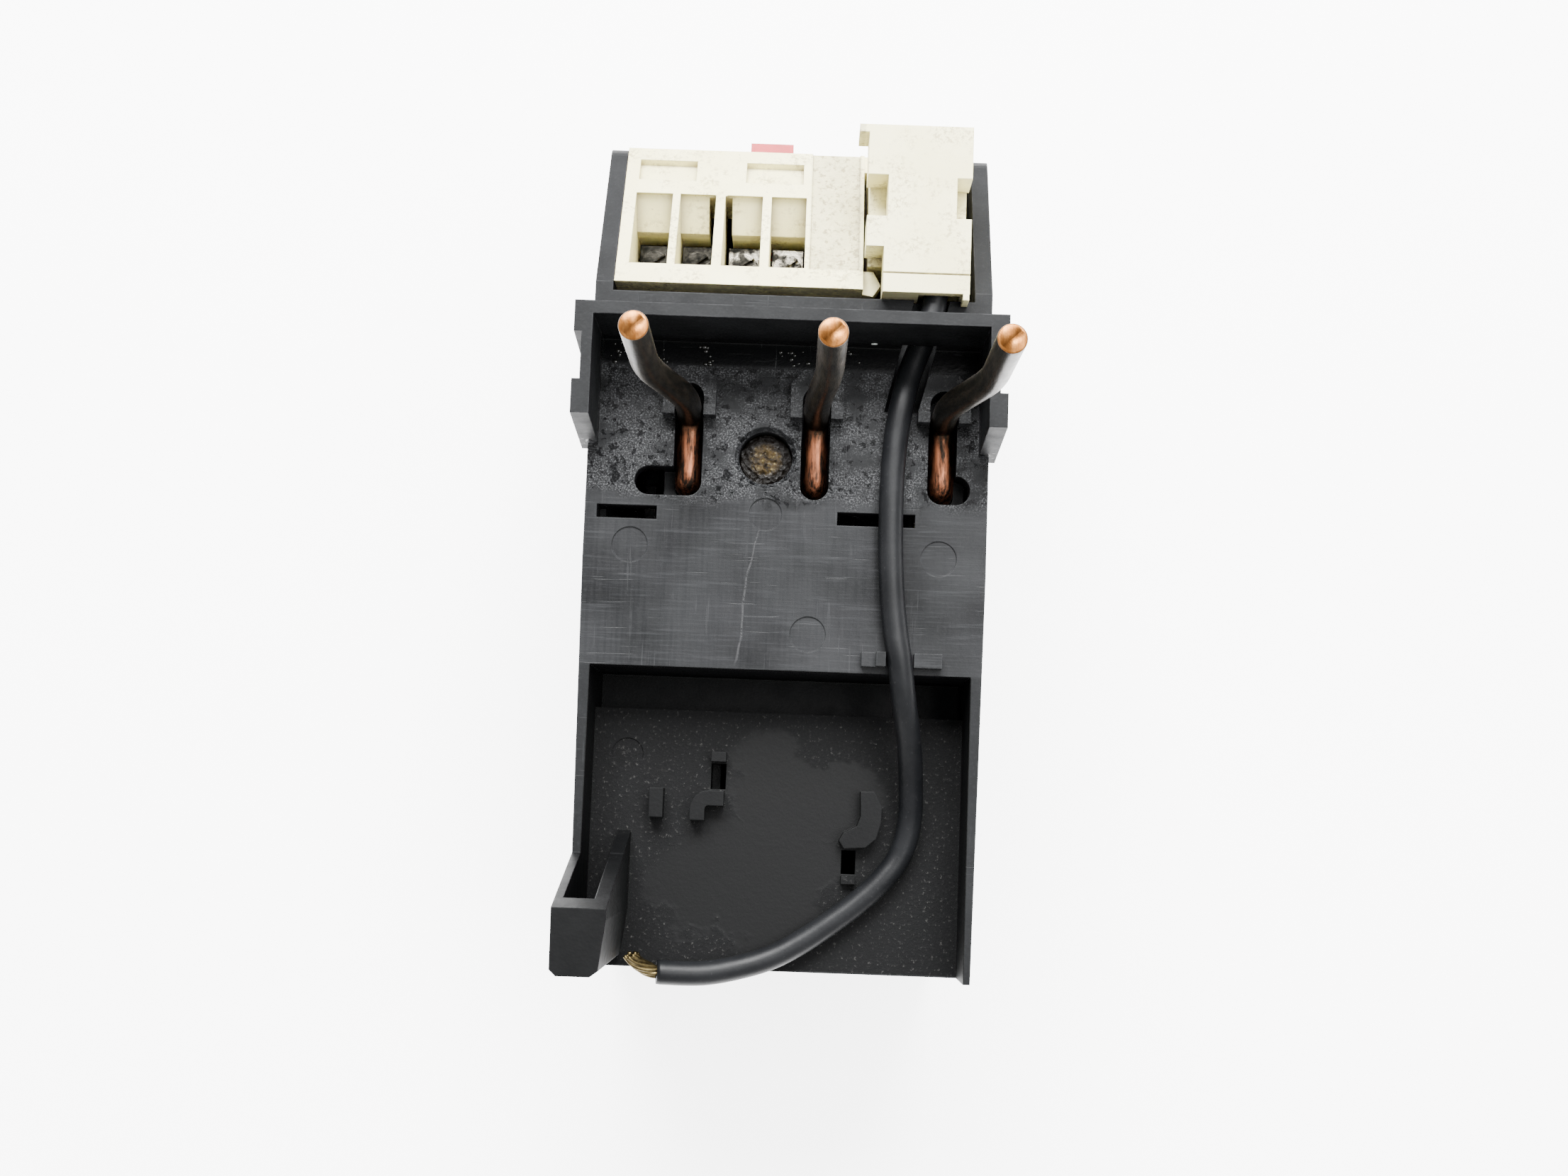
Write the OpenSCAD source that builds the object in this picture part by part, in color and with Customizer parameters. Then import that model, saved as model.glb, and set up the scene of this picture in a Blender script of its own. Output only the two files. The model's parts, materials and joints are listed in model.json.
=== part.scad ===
// Plug-on thermal overload relay with three poles. +Z points to the contactor that it plugs
// into, -Y is the front with the controls, and the relay stands on its load terminal end.

/* [Body] */
// Width of the moulded body
body_w = 45; // [44.8:0.1:45.4]
// Height of the plug-in face above the bottom
face_z = 52; // [51.8:0.1:52.6]
// Height of the ledge above the plug-in face
ledge_h = 11.5; // [10:0.5:14]
// Height of the hook post above the plug-in face
hook_h = 18; // [14:0.5:20]

/* [Contact pins] */
// Radius of the round contact pins
pin_r = 1.45; // [1.35:0.05:1.5]
// Height of the pin tips above the plug-in face
pin_h = 39; // [36:0.5:42]
// Distance between the slots of neighbouring poles
pin_pitch = 14.25; // [14.1:0.05:14.3]

/* [Controls] */
// Radius of the setting dial
dial_r = 4.6; // [4:0.1:4.7]
// Radius of the round reset button
reset_r = 2.9; // [2.5:0.1:3]
// Width of the square test button
test_w = 5.3; // [4.8:0.1:5.4]

/* [Lead] */
// Radius of the lead over its insulation
lead_r = 1.4; // [1.2:0.05:1.4]
// Radius of the bare strands at its end
strand_r = 0.75; // [0.6:0.05:0.8]

/* [Hidden] */
$fn = 48;

// Outer shape
half_w = body_w / 2;
wall = 2;
inner_x = half_w - wall;
fit_x = inner_x - 0.05;
tray_x = half_w - 1.4;
ear_x = half_w + 0.85;
rear_half_w = half_w - 0.65;
taper_y = 5;
rear_y = 50;
step_y = 16.5;
ledge_y = -20.3;
ledge_t = 1.4;
tip_y = -46.5;
skirt_y = -26;
block_rear_y = -27;
face_t = 2.5;
tip_drop = 11;
slope_a = atan(tip_drop / (block_rear_y - tip_y));
floor_z = face_z - 9;
trench_y = 20.8;
trench_z = face_z - 16;
chamber_y = 19.8;

// Contact pins: the outer two step outwards between the slots and the tips
pin_slot_x = [11.2, 11.2 - pin_pitch, 11.2 - 2 * pin_pitch];
pin_tip_x = [14.55, -4.05, -20.65];
pin_y = -12.2;
pin_foot_y = -4.3;
pin_run_z = face_z - 1.75;
pin_foot_z = 33.8;
pin_step_z = face_z + 8;
pin_step_h = 14;
slot_r = 1.6;
slot_rear_y = -2.7;
slot_front_y = -13.65;

// Poles inside the body
pole_x = [14, 0, -14];
strip_z = [16, 24];
strip_front_y = 15;

// Main terminals
terminal_top_z = 22.9;
terminal_front_y = -51;
wire_way_y = [-42.4, -31];
screw_z = 12;

// Auxiliary terminals: compartment centres and widths, from the outer wall inwards
aux_x = [16.85, 11.75, 6.2, 1];
aux_w = [4.3, 4.1, 4.2, 4.1];
aux_screw_y = -32.3;
well_y = [-36, -29.7];
aux_left_x = -7.8;
aux_bottom_z = 36;
strip_edge_x = -1.65;

// Coil terminal adaptor
cap_left_x = -7.9;
cap_front_y = -45.4;
adaptor_front_y = -45.1;
cap_w = 11.75;
cap_z = [face_z - 2, face_z + 3];
adaptor_bottom_z = 30;
adaptor_x = -13.8;

// Controls
panel_y = [-48.1, -46.1];
panel_z = [23.05, 35.9];
button_z = 28;
test_x = 3.5;
reset_x = -4;
dial_x = 14;
dial_z = 29.5;
stem_r = 1.6;
test_tip_y = -51.2;
reset_tip_y = -49.4;
dial_face_y = -48.5;
stem_end_y = -16.5;
guide_y = [-35, -33.5];
flange_y = [-45.8, -44.6];
cam_r = 3;
cam_offset = 0.8;

// Mechanism
slide_y = [15.2, 18.2];
trip_bar_z = [26, 28];
diff_bar_z = [12, 14];
lever_x = -17.5;
lever_y = [18.5, 19.7];
pivot_x = 7;
pivot_y = 4;
trip_z = [29, 31];
comp_y = -6;
comp_z = 24;
carrier_y = [-13.2, -11];
carrier_z = [29, 34.5];
tail_x = [-5.4, -3.4];
contact_z = 36.5;

// Lead: from the coil adaptor, under the ledge, through the clips and along the tray floor
LEAD_ROUTE = [
    [-16.2, -27.5, 52.2], [-15.7, -24.5, 52.2], [-14.6, -21, 52.2], [-13.4, -17.5, 52.6],
    [-12.6, -14, 53.45], [-12, -10, 53.45], [-11.7, -5, 53.45], [-11.7, 1, 53.45],
    [-12, 7, 53.45], [-12.5, 11.5, 53.45], [-13.1, 15, 53.45], [-13.8, 19.5, 52.3],
    [-14.6, 23.5, 49.8], [-15.1, 27.8, 47.1], [-15.25, 32.4, 45.2], [-14.4, 36.2, 44.5],
    [-12.5, 39.1, 44.5], [-9.9, 41.7, 44.5], [-7, 44, 44.5], [-3.9, 46.2, 44.5],
    [-0.6, 48.1, 44.6], [3, 49.4, 44.9], [7.5, 50.3, 45.4], [12.6, 50.3, 46.2]];
STRAND_ROUTE = [[12.6, 50.3, 46.2], [13.7, 49.9, 46.6], [14.8, 49.2, 47.1], [15.6, 48.2, 47.6]];

// Shapes given by their spans along each axis
module block(x, y, z) {
    translate([x[0], y[0], z[0]])
        cube([x[1] - x[0], y[1] - y[0], z[1] - z[0]]);
}

// An outline of Y and Z, drawn across the width
module across(x, outline) {
    translate([x[0], 0, 0])
        rotate([90, 0, 90])
            linear_extrude(x[1] - x[0])
                polygon(outline);
}

// An outline of X and Y, drawn upwards
module upright(z, outline) {
    translate([0, 0, z[0]])
        linear_extrude(z[1] - z[0])
            polygon(outline);
}

module rod_x(y, z, x, r) {
    translate([x[0], y, z])
        rotate([0, 90, 0])
            cylinder(r = r, h = x[1] - x[0]);
}

module rod_y(x, z, y, r) {
    translate([x, y[0], z])
        rotate([-90, 0, 0])
            cylinder(r = r, h = y[1] - y[0]);
}

module rod_z(x, y, z, r) {
    translate([x, y, z[0]])
        cylinder(r = r, h = z[1] - z[0]);
}

module both_sides() {
    children();
    mirror([1, 0, 0])
        children();
}

// The sloped terminal face: local Y runs back up the slope, local Z points out of it
module on_slope() {
    translate([0, block_rear_y, face_z])
        rotate([slope_a, 0, 0])
            children();
}

function slope_z(y) = face_z - (block_rear_y - y) * tan(slope_a);
function around(x, half) = [x - half, x + half];
function arc(centre, r, from, to, steps) =
    [for (i = [0:steps]) let (a = from + (to - from) * i / steps)
        [centre[0] + r * cos(a), centre[1] + r * sin(a)]];

// A smooth curve through route points, then a round tube along it
function on_curve(p, i, t) =
    let (n = len(p), a = p[max(i - 1, 0)], b = p[i], c = p[i + 1], d = p[min(i + 2, n - 1)])
    0.5 * (2 * b + (c - a) * t + (2 * a - 5 * b + 4 * c - d) * t * t
           + (3 * b - a - 3 * c + d) * t * t * t);
function smooth(p, steps) =
    concat([for (i = [0:len(p) - 2], s = [0:steps - 1]) on_curve(p, i, s / steps)],
           [p[len(p) - 1]]);
function unit(v) = v / norm(v);
function heading(p, i) = unit(p[min(i + 1, len(p) - 1)] - p[max(i - 1, 0)]);
function ring(centre, forward, r, sides) =
    let (side = unit(cross([0, 0, 1], forward)), up = cross(forward, side))
    [for (k = [0:sides - 1]) let (a = 360 * k / sides)
        centre + r * (cos(a) * side + sin(a) * up)];

module tube(path, r, sides) {
    n = len(path);
    points = [for (i = [0:n - 1]) each ring(path[i], heading(path, i), r, sides)];
    walls = [for (i = [0:n - 2], k = [0:sides - 1]) let (j = (k + 1) % sides)
        each [[i * sides + k, (i + 1) * sides + k, i * sides + j],
              [i * sides + j, (i + 1) * sides + k, (i + 1) * sides + j]]];
    ends = [[for (k = [0:sides - 1]) k],
            [for (k = [sides - 1:-1:0]) (n - 1) * sides + k]];
    polyhedron(points, concat(walls, ends));
}

// A coil spring along Y
module coil_spring(x, z, y, r, wire_r, turns) {
    steps = 12 * turns;
    rise = y[1] - y[0] - 2 * wire_r;
    path = [for (i = [0:steps]) let (a = 30 * i)
        [r * cos(a), r * sin(a), wire_r + rise * i / steps]];
    translate([x, y[0], z])
        rotate([-90, 0, 0])
            tube(path, wire_r, 6);
}

// Main housing ------------------------------------------------------------------------

function side_outline() =
    let (nose_r = 2.5, centre_y = tip_y + nose_r,
         centre_z = slope_z(centre_y) - nose_r / cos(slope_a))
    concat([[tip_y, 0], [rear_y, 0], [rear_y, face_z], [block_rear_y, face_z]],
           arc([centre_y, centre_z], nose_r, 90 + slope_a, 180, 6));

module housing_hollow() {
    block([-inner_x, inner_x], [-24.5, step_y - 1.5], [-1, face_z - face_t]);
    block([-inner_x, inner_x], [step_y - 1.6, trench_y + 1.5], [-1, trench_z - 2]);
    block([-inner_x, inner_x], [trench_y + 1.4, rear_y - 2], [-1, floor_z - 2]);
    block([-inner_x, inner_x], [tip_y - 1, skirt_y], [-1, face_z + 1]);
    block([-inner_x, inner_x], [skirt_y - 0.1, -24.4], [-1, face_z - 12]);
}

module tray_space() {
    block([-tray_x, tray_x], [step_y, rear_y + 1], [floor_z, face_z + 1]);
    block([-tray_x, tray_x], [step_y, trench_y], [trench_z, face_z]);
}

module ledge() {
    top = face_z + ledge_h;
    ear_y = -13.1;
    block([-ear_x, ear_x], [ledge_y - ledge_t, ledge_y], [face_z - face_t, top]);
    both_sides() {
        across([half_w - 1.15, half_w],
               [[ledge_y - 0.1, face_z - 1], [ledge_y - 0.1, top], [ear_y + 0.1, top],
                [ear_y + 0.1, face_z - 1]]);
        across([half_w - 1.15, ear_x],
               [[ledge_y - 0.1, top - 7], [ledge_y - 0.1, top], [-18.3, top], [-17.5, top - 7]]);
        across([half_w - 1.15, ear_x],
               [[ear_y, face_z - 2], [ear_y, top], [-9.4, top], [-8, face_z - 2]]);
    }
}

// Moulded channels that carry the pins, and the collars round their rising ends
module pin_supports() {
    for (x = pin_slot_x) {
        block(around(x, 2.8), [-16.5, -1.2], [face_z - 5, face_z - face_t + 0.1]);
        upright([face_z - 1, face_z + 1.6],
                [[x - 2.95, -11.6], [x - 2.95, -15.6], [x - 1.5, -17.2], [x + 1.5, -17.2],
                 [x + 2.95, -15.6], [x + 2.95, -11.6]]);
        block([x - 2.95, x + 2.95], [-12.8, -11.6], [face_z - 1, face_z + 2.1]);
    }
}

module pin_slots() {
    for (x = pin_slot_x) {
        block(around(x, slot_r), [slot_front_y, slot_rear_y - slot_r],
              [face_z - 3.6, face_z + 3]);
        rod_z(x, slot_front_y, [face_z - 3.6, face_z + 3], slot_r);
        rod_z(x, slot_rear_y - slot_r, [face_z - 6, face_z + 3], slot_r);
    }
}

// Open pockets beside the outer slots
module side_pockets() {
    block([pin_slot_x[0], 15.45], [-6, slot_rear_y], [face_z - 4, face_z + 1]);
    rod_z(15.45, -4.35, [face_z - 4, face_z + 1], 1.65);
    block([-18.85, pin_slot_x[2]], [-6, slot_rear_y], [face_z - 4, face_z + 1]);
    rod_z(-18.85, -4.35, [face_z - 4, face_z + 1], 1.65);
}

seal_x = 2.5;
seal_y = -7.35;
module seal_bore() {
    translate([seal_x, seal_y, face_z - 0.5])
        cylinder(r1 = 3, r2 = 3.5, h = 0.51);
    rod_z(seal_x, seal_y, [face_z - 4.5, face_z], 3);
    rod_z(seal_x, seal_y, [face_z - 9, face_z - 4.4], 1.65);
}

module face_marks() {
    block([14.45, 21.15], [-1.45, 0.05], [face_z - 4, face_z + 1]);
    block([-14.45, -5.75], [-1.45, 0.05], [face_z - 4, face_z + 1]);
    ejectors = [[17.3, 3, 2], [2.3, -0.9, 1.85], [-17.2, 3.45, 2], [-2.9, 12.4, 2]];
    for (mark = ejectors)
        rod_z(mark[0], mark[1], [face_z - 0.15, face_z + 1], mark[2]);
    upright([face_z - 1.5, face_z + 1.9],
            [[-18.1, -27.5], [-14, -27.5], [-10.6, -13], [-14.4, -13]]);
}

module lead_clips() {
    clip_y = [14.2, 15.8];
    block([-11.55, -8.9], clip_y, [face_z - 0.5, face_z + 1.2]);
    block([-11.55, -10.5], clip_y, [face_z, face_z + 2.4]);
    block([-17.8, -14.7], clip_y, [face_z - 0.5, face_z + 1.6]);
}

module tray_ribs() {
    block([12.75, 14.35], [29.8, 33.1], [floor_z - 0.2, floor_z + 2.5]);
    upright([floor_z - 0.2, floor_z + 2.5],
            concat(arc([7.6, 32], 2.1, -90, 0, 6), [[9.7, 33.3], [8, 33.3]],
                   arc([7.6, 32], 0.4, 0, -90, 3), [[5.9, 31.6], [5.9, 29.9]]));
    block([5.8, 7.5], [25.5, 26.6], [floor_z - 0.2, floor_z + 1.8]);
    upright([floor_z - 0.2, floor_z + 2],
            [[-9.6, 29.4], [-11.2, 29.4], [-12.1, 31], [-12, 33], [-11.5, 34.7], [-10.3, 35.7],
             [-7.9, 35.9], [-7.3, 35], [-7.8, 34.1], [-9.3, 33.3], [-9.7, 32.2]]);
    block([-9.3, -7.7], [39, 39.9], [floor_z - 0.2, floor_z + 1.1]);
}

module tray_holes() {
    block([5.8, 7.5], [26.8, 29.7], [floor_z - 3, floor_z + 1]);
    block([-9.3, -7.7], [36.1, 38.8], [floor_z - 3, floor_z + 1]);
    rod_z(17.2, 26, [floor_z - 0.15, floor_z + 1], 1.8);
}

module hook_post() {
    top = face_z + hook_h;
    difference() {
        intersection() {
            upright([floor_z - 0.5, top],
                    [[16.4, 33], [half_w, 33], [half_w, 48], [21.2, 49.2],
                     [17.8, 49.2], [17, 48.6], [16.4, 43.5]]);
            across([16, half_w + 1],
                   [[34.7, floor_z - 1], [34.7, floor_z], [42.4, top], [rear_y, top],
                    [rear_y, floor_z - 1]]);
        }
        block([17.9, tray_x], [33, 46.5], [floor_z, top - 3]);
    }
}

// Posts that the bottom cover is screwed to
post_xy = [[18.9, -22.8], [-18.9, -22.8], [18.9, 46.1], [-18.9, 46.1]];
module cover_posts() {
    for (p = post_xy)
        difference() {
            rod_z(p[0], p[1], [2, 16], 1.9);
            rod_z(p[0], p[1], [1, 12], 1);
        }
}

module chamber_walls() {
    for (x = [7, -7]) {
        block(around(x, 0.5), [chamber_y, rear_y - 1.9], [5, trench_z - 1.9]);
        block(around(x, 0.5), [trench_y + 1.4, rear_y - 1.9], [trench_z - 2, floor_z - 1.9]);
    }
}

module main_housing() {
    color("#2c2d2f") {
        difference() {
            union() {
                difference() {
                    across([-half_w, half_w], side_outline());
                    housing_hollow();
                    tray_space();
                }
                ledge();
                pin_supports();
                rod_z(seal_x, seal_y, [face_z - 8, face_z - face_t + 0.1], 4.2);
                lead_clips();
                tray_ribs();
                hook_post();
                chamber_walls();
            }
            both_sides()
                upright([-1, face_z + hook_h + 1],
                        [[half_w, taper_y], [half_w + 2, taper_y], [half_w + 2, rear_y + 1],
                         [rear_half_w, rear_y + 1]]);
            pin_slots();
            side_pockets();
            seal_bore();
            face_marks();
            tray_holes();
        }
        cover_posts();
    }
}

// Covers and terminal blocks ------------------------------------------------------------

module bottom_cover() {
    color("#252628")
        difference() {
            block([-fit_x, fit_x], [-24.9, rear_y - 2.1], [0, 2]);
            for (p = post_xy) {
                rod_z(p[0], p[1], [-1, 3], 1.1);
                rod_z(p[0], p[1], [-1, 1.3], 1.7);
            }
            for (y = [0:5:35])
                block([-5, 5], [y, y + 1.2], [-1, 0.5]);
        }
}

module slotted_screw(head_r, head_h, shank_r, shank_l) {
    difference() {
        union() {
            cylinder(r = head_r, h = head_h);
            translate([0, 0, -shank_l])
                cylinder(r = shank_r, h = shank_l + 0.01);
        }
        block([-head_r - 1, head_r + 1], [-0.3, 0.3], [head_h - 0.5, head_h + 1]);
    }
}

module cover_screws() {
    color("silver")
        for (p = post_xy)
            translate([p[0], p[1], 1.3])
                rotate([180, 0, 0])
                    slotted_screw(1.5, 1, 0.95, 9);
}

module main_terminal_block() {
    color("#2c2d2f")
        difference() {
            union() {
                block([-fit_x, fit_x], [terminal_front_y, -25], [0, terminal_top_z]);
                block([-7.5, 9], guide_y, [terminal_top_z - 0.1, 31.5]);
            }
            for (x = pole_x) {
                block(around(x, 4.6), wire_way_y, [-1, 20.5]);
                rod_y(x, screw_z, [terminal_front_y - 1, -42], 3.4);
                block(around(x, 1.7), [-31.5, -24], [2.7, 4.3]);
            }
            for (x = [7, -7])
                block(around(x, 0.6), [terminal_front_y - 1, terminal_front_y + 1.6], [-1, 24]);
            for (x = [test_x, reset_x])
                rod_y(x, button_z, [-36, -33], stem_r + 0.1);
        }
}

module main_terminal_clamps() {
    color("gainsboro")
        for (x = pole_x)
            difference() {
                block(around(x, 4), [-41, -32.7], [7, 17]);
                block(around(x, 3), [-39.5, -33.7], [6, 18]);
                rod_y(x, screw_z, [-42, -39], 2);
            }
}

module main_terminal_screws() {
    color("silver")
        for (x = pole_x)
            translate([x, -42.6, screw_z])
                rotate([90, 0, 0])
                    slotted_screw(3.2, 2, 1.95, 6);
}

// Wedge-shaped block whose compartments open through the sloped face
module aux_terminal_block() {
    color("#efeddc") {
        difference() {
            across([aux_left_x, fit_x],
                   [[tip_y, aux_bottom_z], [block_rear_y - 0.1, aux_bottom_z],
                    [block_rear_y - 0.1, face_z - 0.1], [tip_y, slope_z(tip_y)]]);
            for (i = [0:3]) {
                across(around(aux_x[i], aux_w[i] / 2),
                       [[-39.8, slope_z(-39.8) + 1], [-39.8, slope_z(-39.8) - 0.6],
                        [well_y[0], 41.5], [well_y[0], aux_bottom_z - 1],
                        [well_y[1], aux_bottom_z - 1], [well_y[1], face_z + 1]]);
                block(around(aux_x[i], 1.6), [well_y[1] - 0.2, -26],
                      [aux_bottom_z - 1, aux_bottom_z + 1.4]);
            }
            for (x = [[9.6, 10.4], [7.7, 8.5]])
                block(x, [-39.7, well_y[1]], [aux_bottom_z - 1, face_z]);
            on_slope() {
                for (x = [15.5, 2.8])
                    block(around(x, 3.4), [-20.4, -17], [-0.9, 2]);
                block([aux_left_x + 0.5, strip_edge_x], [-25, -3.1], [-0.4, 2]);
            }
        }
        upright([46.5, 49.2],
                [[aux_left_x + 0.1, -29.9], [-9, -29.9], [-9.9, -28.3], [-9, -27],
                 [aux_left_x + 0.1, -27.2]]);
    }
}

module aux_terminal_clamps() {
    color("lightgray")
        for (x = aux_x)
            difference() {
                block(around(x, 1.85), [-35, -29.9], [38.6, 39.3]);
                rod_z(x, aux_screw_y, [38, 41], 1.15);
            }
}

module aux_terminal_screws() {
    color("silver")
        for (x = aux_x)
            translate([x, aux_screw_y, 39.3])
                rotate([0, 0, 35])
                    slotted_screw(1.75, 1.3, 1.1, 3.1);
}

// Outline of the adaptor, from the inner front corner, with its side notches
function cap_outline() =
    [for (p = [[0, 0], [0, 5.8], [2.3, 5.8], [2.3, 10.6], [0, 10.6], [0, 14.1], [2, 14.1],
               [2, 19.3], [cap_w, 19.3], [cap_w, 10.7], [cap_w - 1.7, 10.7], [cap_w - 1.7, 6],
               [cap_w, 6], [cap_w, 0]])
        [cap_left_x - p[0], cap_front_y + p[1]]];

module coil_adaptor_cap() {
    color("#f2f0e0")
        difference() {
            union() {
                upright(cap_z, cap_outline());
                block([cap_left_x - 0.1, cap_left_x + 1.1], [cap_front_y, cap_front_y + 0.9],
                      cap_z);
                block([-19.6, -18.9], [cap_front_y + 19.2, cap_front_y + 20],
                      [face_z + 0.1, cap_z[1]]);
            }
            block([-18.7, -14], [-28, -24], [cap_z[0] - 1, face_z + 1.9]);
            block([-21, -9], [cap_front_y + 17, cap_front_y + 17.2], [cap_z[1] - 0.3, cap_z[1] + 1]);
        }
}

module coil_adaptor_body() {
    color("#e9e6d3")
        difference() {
            upright([adaptor_bottom_z, cap_z[0]],
                    [[-8.3, adaptor_front_y], [-8.3, -30.3], [-10.2, -30.3], [-10.2, -27],
                     [-19.4, -27], [-19.4, adaptor_front_y]]);
            block([-17.5, -10.3], [-38.6, -29], [35.4, cap_z[0] + 1]);
            block([-16.4, -11.4], [adaptor_front_y - 1, -38], [37, 42.2]);
            rod_y(adaptor_x, 46.5, [adaptor_front_y - 1, -38], 2.6);
            block([-18.7, -14.9], [-29.5, -26], [face_z - 1.9 - 1.6, cap_z[0] + 1]);
        }
}

module coil_terminal_clamp() {
    color("gainsboro")
        difference() {
            block([-17.2, -10.6], [-38.2, -30.5], [36, 49]);
            block([-16.2, -11.6], [-39, -31.7], [37, 42.2]);
            rod_y(adaptor_x, 46.5, [-39, -32], 1.55);
        }
}

module coil_terminal_screw() {
    color("silver")
        translate([adaptor_x, -38.2, 46.5])
            rotate([90, 0, 0])
                slotted_screw(2.3, 1.6, 1.5, 5);
}

module front_panel() {
    color("#e6e3d0")
        difference() {
            block([-fit_x, fit_x], panel_y, panel_z);
            block(around(test_x, test_w / 2 + 0.2), [-49, -44], around(button_z, test_w / 2 + 0.2));
            rod_y(reset_x, button_z, [-49, -44], reset_r + 0.15);
            rod_y(dial_x, dial_z, [-49, -44], dial_r + 0.15);
            block(around(-14, 1.7), [-49, -44], around(26, 1.7));
        }
}

// Current path --------------------------------------------------------------------------

// A pin is straight lengths of rod with a slightly fuller ball at each bend
module contact_pin(slot_x, tip_x) {
    step_top = pin_step_z + pin_step_h;
    lean = atan((tip_x - slot_x) / pin_step_h);
    color("#8a5a3c") {
        rod_z(slot_x, pin_foot_y, [pin_foot_z, pin_run_z], pin_r);
        rod_y(slot_x, pin_run_z, [pin_y, pin_foot_y], pin_r);
        rod_z(slot_x, pin_y, [pin_run_z, pin_step_z], pin_r);
        translate([slot_x, pin_y, pin_step_z])
            rotate([0, lean, 0])
                cylinder(r = pin_r, h = pin_step_h / cos(lean));
        rod_z(tip_x, pin_y, [step_top, face_z + pin_h], pin_r);
        for (p = [[slot_x, pin_foot_y, pin_run_z], [slot_x, pin_y, pin_run_z],
                  [slot_x, pin_y, pin_step_z], [tip_x, pin_y, step_top]])
            translate(p)
                sphere(r = pin_r + 0.03);
    }
}

module heater_leads() {
    color("#b0763f")
        for (i = [0:2]) {
            a = pin_slot_x[i];
            b = pole_x[i];
            block(around(a, 1.5), [-6.2, 24], [33, pin_foot_z]);
            block([min(a, b) - 1.5, max(a, b) + 1.5], [21, 24], [33, pin_foot_z]);
            block(around(b, 1.5), [23.2, 24], [28, 33.1]);
        }
}

module load_links() {
    color("#c08552")
        for (x = pole_x) {
            block(around(x, 1.5), [-32.4, 46.8], [3, 4]);
            block(around(x, 1.5), [-32.4, -31.4], [3, 16]);
            block(around(x, 1.5), [45.8, 46.8], [3, 14]);
        }
}

module bimetal_holders() {
    color("gainsboro")
        for (x = pole_x)
            difference() {
                block(around(x, 2), [43.4, 47.6], [14, 26]);
                block(around(x, 0.7), [43, 46.8], [13, 27]);
            }
}

module bimetal(x) {
    color("#9a9182")
        block(around(x, 0.4), [strip_front_y, 46.2], strip_z);
}

module insulating_sleeve(x) {
    color("ivory")
        difference() {
            block(around(x, 0.75), [23.5, 40.5], [15.6, 24.4]);
            block(around(x, 0.4), [23, 41], strip_z);
        }
}

// Flat resistance wire: evenly spaced turns round the sleeve, joined along one edge
module heater_winding(x) {
    turns = 7;
    pitch = 2.4;
    color("#7d6f62") {
        for (i = [0:turns - 1])
            translate([0, 24.2 + i * pitch, 0])
                difference() {
                    block(around(x, 1.35), [0, 1.2], [15, 25]);
                    block(around(x, 0.75), [-1, 2], [15.6, 24.4]);
                }
        block(around(x, 0.4), [24.3, 24.2 + (turns - 1) * pitch + 1], [24.5, 25]);
    }
}

// Trip mechanism ------------------------------------------------------------------------

module mechanism_frame() {
    color("#5b5d60")
        difference() {
            union() {
                block([-fit_x, fit_x], [-20.4, 12.9], [5, 6.2]);
                block([-fit_x, fit_x], [12.8, 14.4], [5, 32.6]);
                block([-19, 4], [14.3, 18.3], [28.3, 29.3]);
                block([12.6, 19], [14.3, 18.3], [28.3, 29.3]);
                block([-19, 19], [14.3, 18.3], [10.7, 11.7]);
                block([-8.6, -6.4], [-14, -9], [6.1, 34.5]);
                block([19.3, fit_x], [-14, -9], [6.1, 34.5]);
                block([10, 18], [-19.2, -17.7], [6.1, 33]);
                block([10.2, 11.5], [-8, -4], [6.1, 26]);
                block([16.5, 17.8], [-8, -4], [6.1, 26]);
                rod_z(pivot_x, pivot_y, [6.1, 28.7], 2.4);
            }
            block([3.5, 12.4], [12, 18.4], [28.2, 31.9]);
            block([12.3, 15.7], [-20, -17], [20, 27.8]);
            rod_y(dial_x, dial_z, [-20, -17], 1.56);
            rod_x(comp_y, comp_z, [9, 19], 1);
            rod_z(pivot_x, pivot_y, [12, 30], 1.2);
            rod_y(-4.4, 30.8, [12, 13.3], 2);
        }
}

module trip_slide() {
    color("#c9b27a") {
        block([-18.7, 16.6], slide_y, trip_bar_z);
        for (x = pole_x)
            block([x + 0.5, x + 2.5], slide_y, [17, trip_bar_z[0] + 0.1]);
        rod_y(lever_x, 27, [slide_y[1] - 0.1, 19.9], 0.9);
        rod_z(pivot_x, 16.7, [trip_bar_z[1] - 0.1, 31.4], 1);
    }
}

module differential_slide() {
    color("#a98f5c") {
        block([-18.7, 16], slide_y, diff_bar_z);
        for (x = pole_x)
            block([x - 2.5, x - 0.7], slide_y, [diff_bar_z[1] - 0.1, 23.5]);
        rod_y(lever_x, 13, [slide_y[1] - 0.1, 19.9], 0.8);
    }
}

module differential_lever() {
    color("#d8d2c0")
        difference() {
            block(around(lever_x, 1.6), lever_y, [11.4, 28.6]);
            rod_y(lever_x, 27, [18, 20], 0.95);
            block(around(lever_x, 0.9), [18, 20], [11.9, 14.1]);
        }
}

module trip_lever() {
    color("#e0dccb")
        difference() {
            union() {
                rod_z(pivot_x, pivot_y, trip_z, 2.8);
                block(around(pivot_x, 2.2), [pivot_y, 18], trip_z);
                block([-5.5, pivot_x], [2.9, 5.1], trip_z);
            }
            rod_z(pivot_x, pivot_y, [28, 32], 1.25);
            block(around(pivot_x, 1.15), [14.9, 19], [28, 32]);
        }
}

module trip_lever_pivot() {
    color("silver")
        rod_z(pivot_x, pivot_y, [12, 32], 1.2);
}

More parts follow.
